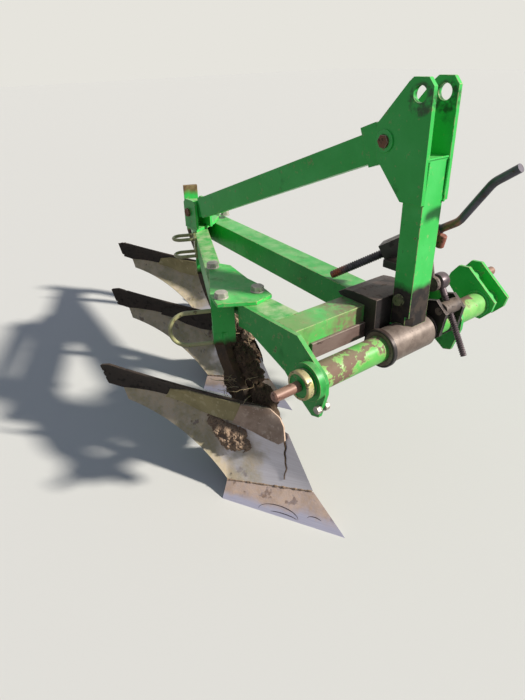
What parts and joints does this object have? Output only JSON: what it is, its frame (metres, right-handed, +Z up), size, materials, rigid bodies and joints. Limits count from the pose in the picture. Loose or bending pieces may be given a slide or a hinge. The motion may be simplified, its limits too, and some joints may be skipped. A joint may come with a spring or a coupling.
{
  "type": "mounted mouldboard plough",
  "caption": "Tractor-mounted mouldboard plough: a welded beam frame with a braced mast and a cranked, turning cross shaft carries right-hand bodies in echelon",
  "frame": {"origin": "on the ground under the middle of the plough's bounding box", "axes": "+X is the direction of travel, +Y the plough's left, +Z up; the ground is z = 0"},
  "size_m": [1.9145, 1.202, 1.135],
  "materials": {
    "green_enamel": "worn gloss enamel",
    "worn_steel": "bare, browned",
    "soiled_steel": "scoured, with a dry soil film",
    "bright_steel": "scoured bright",
    "brown_steel": "rusted and soiled",
    "dark_steel": "dark and oily",
    "rusty_steel": "rusty"
  },
  "bodies": {
    "frame": {"mast_post": "green_enamel", "mast_plate_right": "green_enamel", "mast_plate_left": "green_enamel", "headstock": "dark_steel", "cross_beam": "green_enamel", "beam_strip": "worn_steel", "right_beam": "green_enamel", "long_beam": "green_enamel", "oblique_bar": "green_enamel", "joint_plate": "green_enamel", "rear_plate": "green_enamel", "side_plate_right": "green_enamel", "side_plate_left": "green_enamel", "shaft_sleeve": "worn_steel", "brace": "green_enamel", "brace_bracket": "green_enamel", "brace_bolts": "rusty_steel", "leg_1": "green_enamel", "leg_2": "green_enamel", "leg_3": "green_enamel", "leg_loop_1": "green_enamel", "leg_loop_2": "green_enamel", "share_1": "bright_steel", "share_2": "bright_steel", "share_3": "bright_steel", "mouldboard_1": "soiled_steel", "mouldboard_2": "soiled_steel", "mouldboard_3": "soiled_steel", "trash_board_1": "brown_steel", "trash_board_2": "brown_steel", "trash_board_3": "brown_steel", "landside_1": "soiled_steel", "landside_2": "soiled_steel", "landside_3": "soiled_steel", "nut_block": "dark_steel", "crank_screw": "dark_steel", "adjuster_arm": "worn_steel"},
    "cross_shaft": {"shaft_tube": "worn_steel", "right_link_pin": "rusty_steel", "left_crank": "green_enamel", "left_link_pin": "rusty_steel", "lever_plates": "dark_steel"},
    "rod_trunnion": {"trunnion": "dark_steel"},
    "adjuster_rod": {"threaded_rod": "dark_steel"}
  },
  "joints": [
    {"name": "shaft_turn", "type": "hinge", "parent": "frame", "child": "cross_shaft", "pos_m": [0.77109, 0.09795, 0.47], "axis": [0, 1, 0], "range_deg": [-8, 8]},
    {"name": "trunnion_swing", "type": "hinge", "parent": "cross_shaft", "child": "rod_trunnion", "pos_m": [0.80609, 0.22595, 0.534], "axis": [0, 1, 0], "range_deg": [-12.8, 12.8]},
    {"name": "rod_slide", "type": "slide", "parent": "rod_trunnion", "child": "adjuster_rod", "axis": [-0.5, 0, 0.866], "range_m": [-0.0096, 0.0096]}
  ],
  "couplings": [
    {"joint": "trunnion_swing", "follows": "shaft_turn", "ratio": -1.481},
    {"joint": "rod_slide", "follows": "shaft_turn", "m_per_rad": 0.0617}
  ]
}
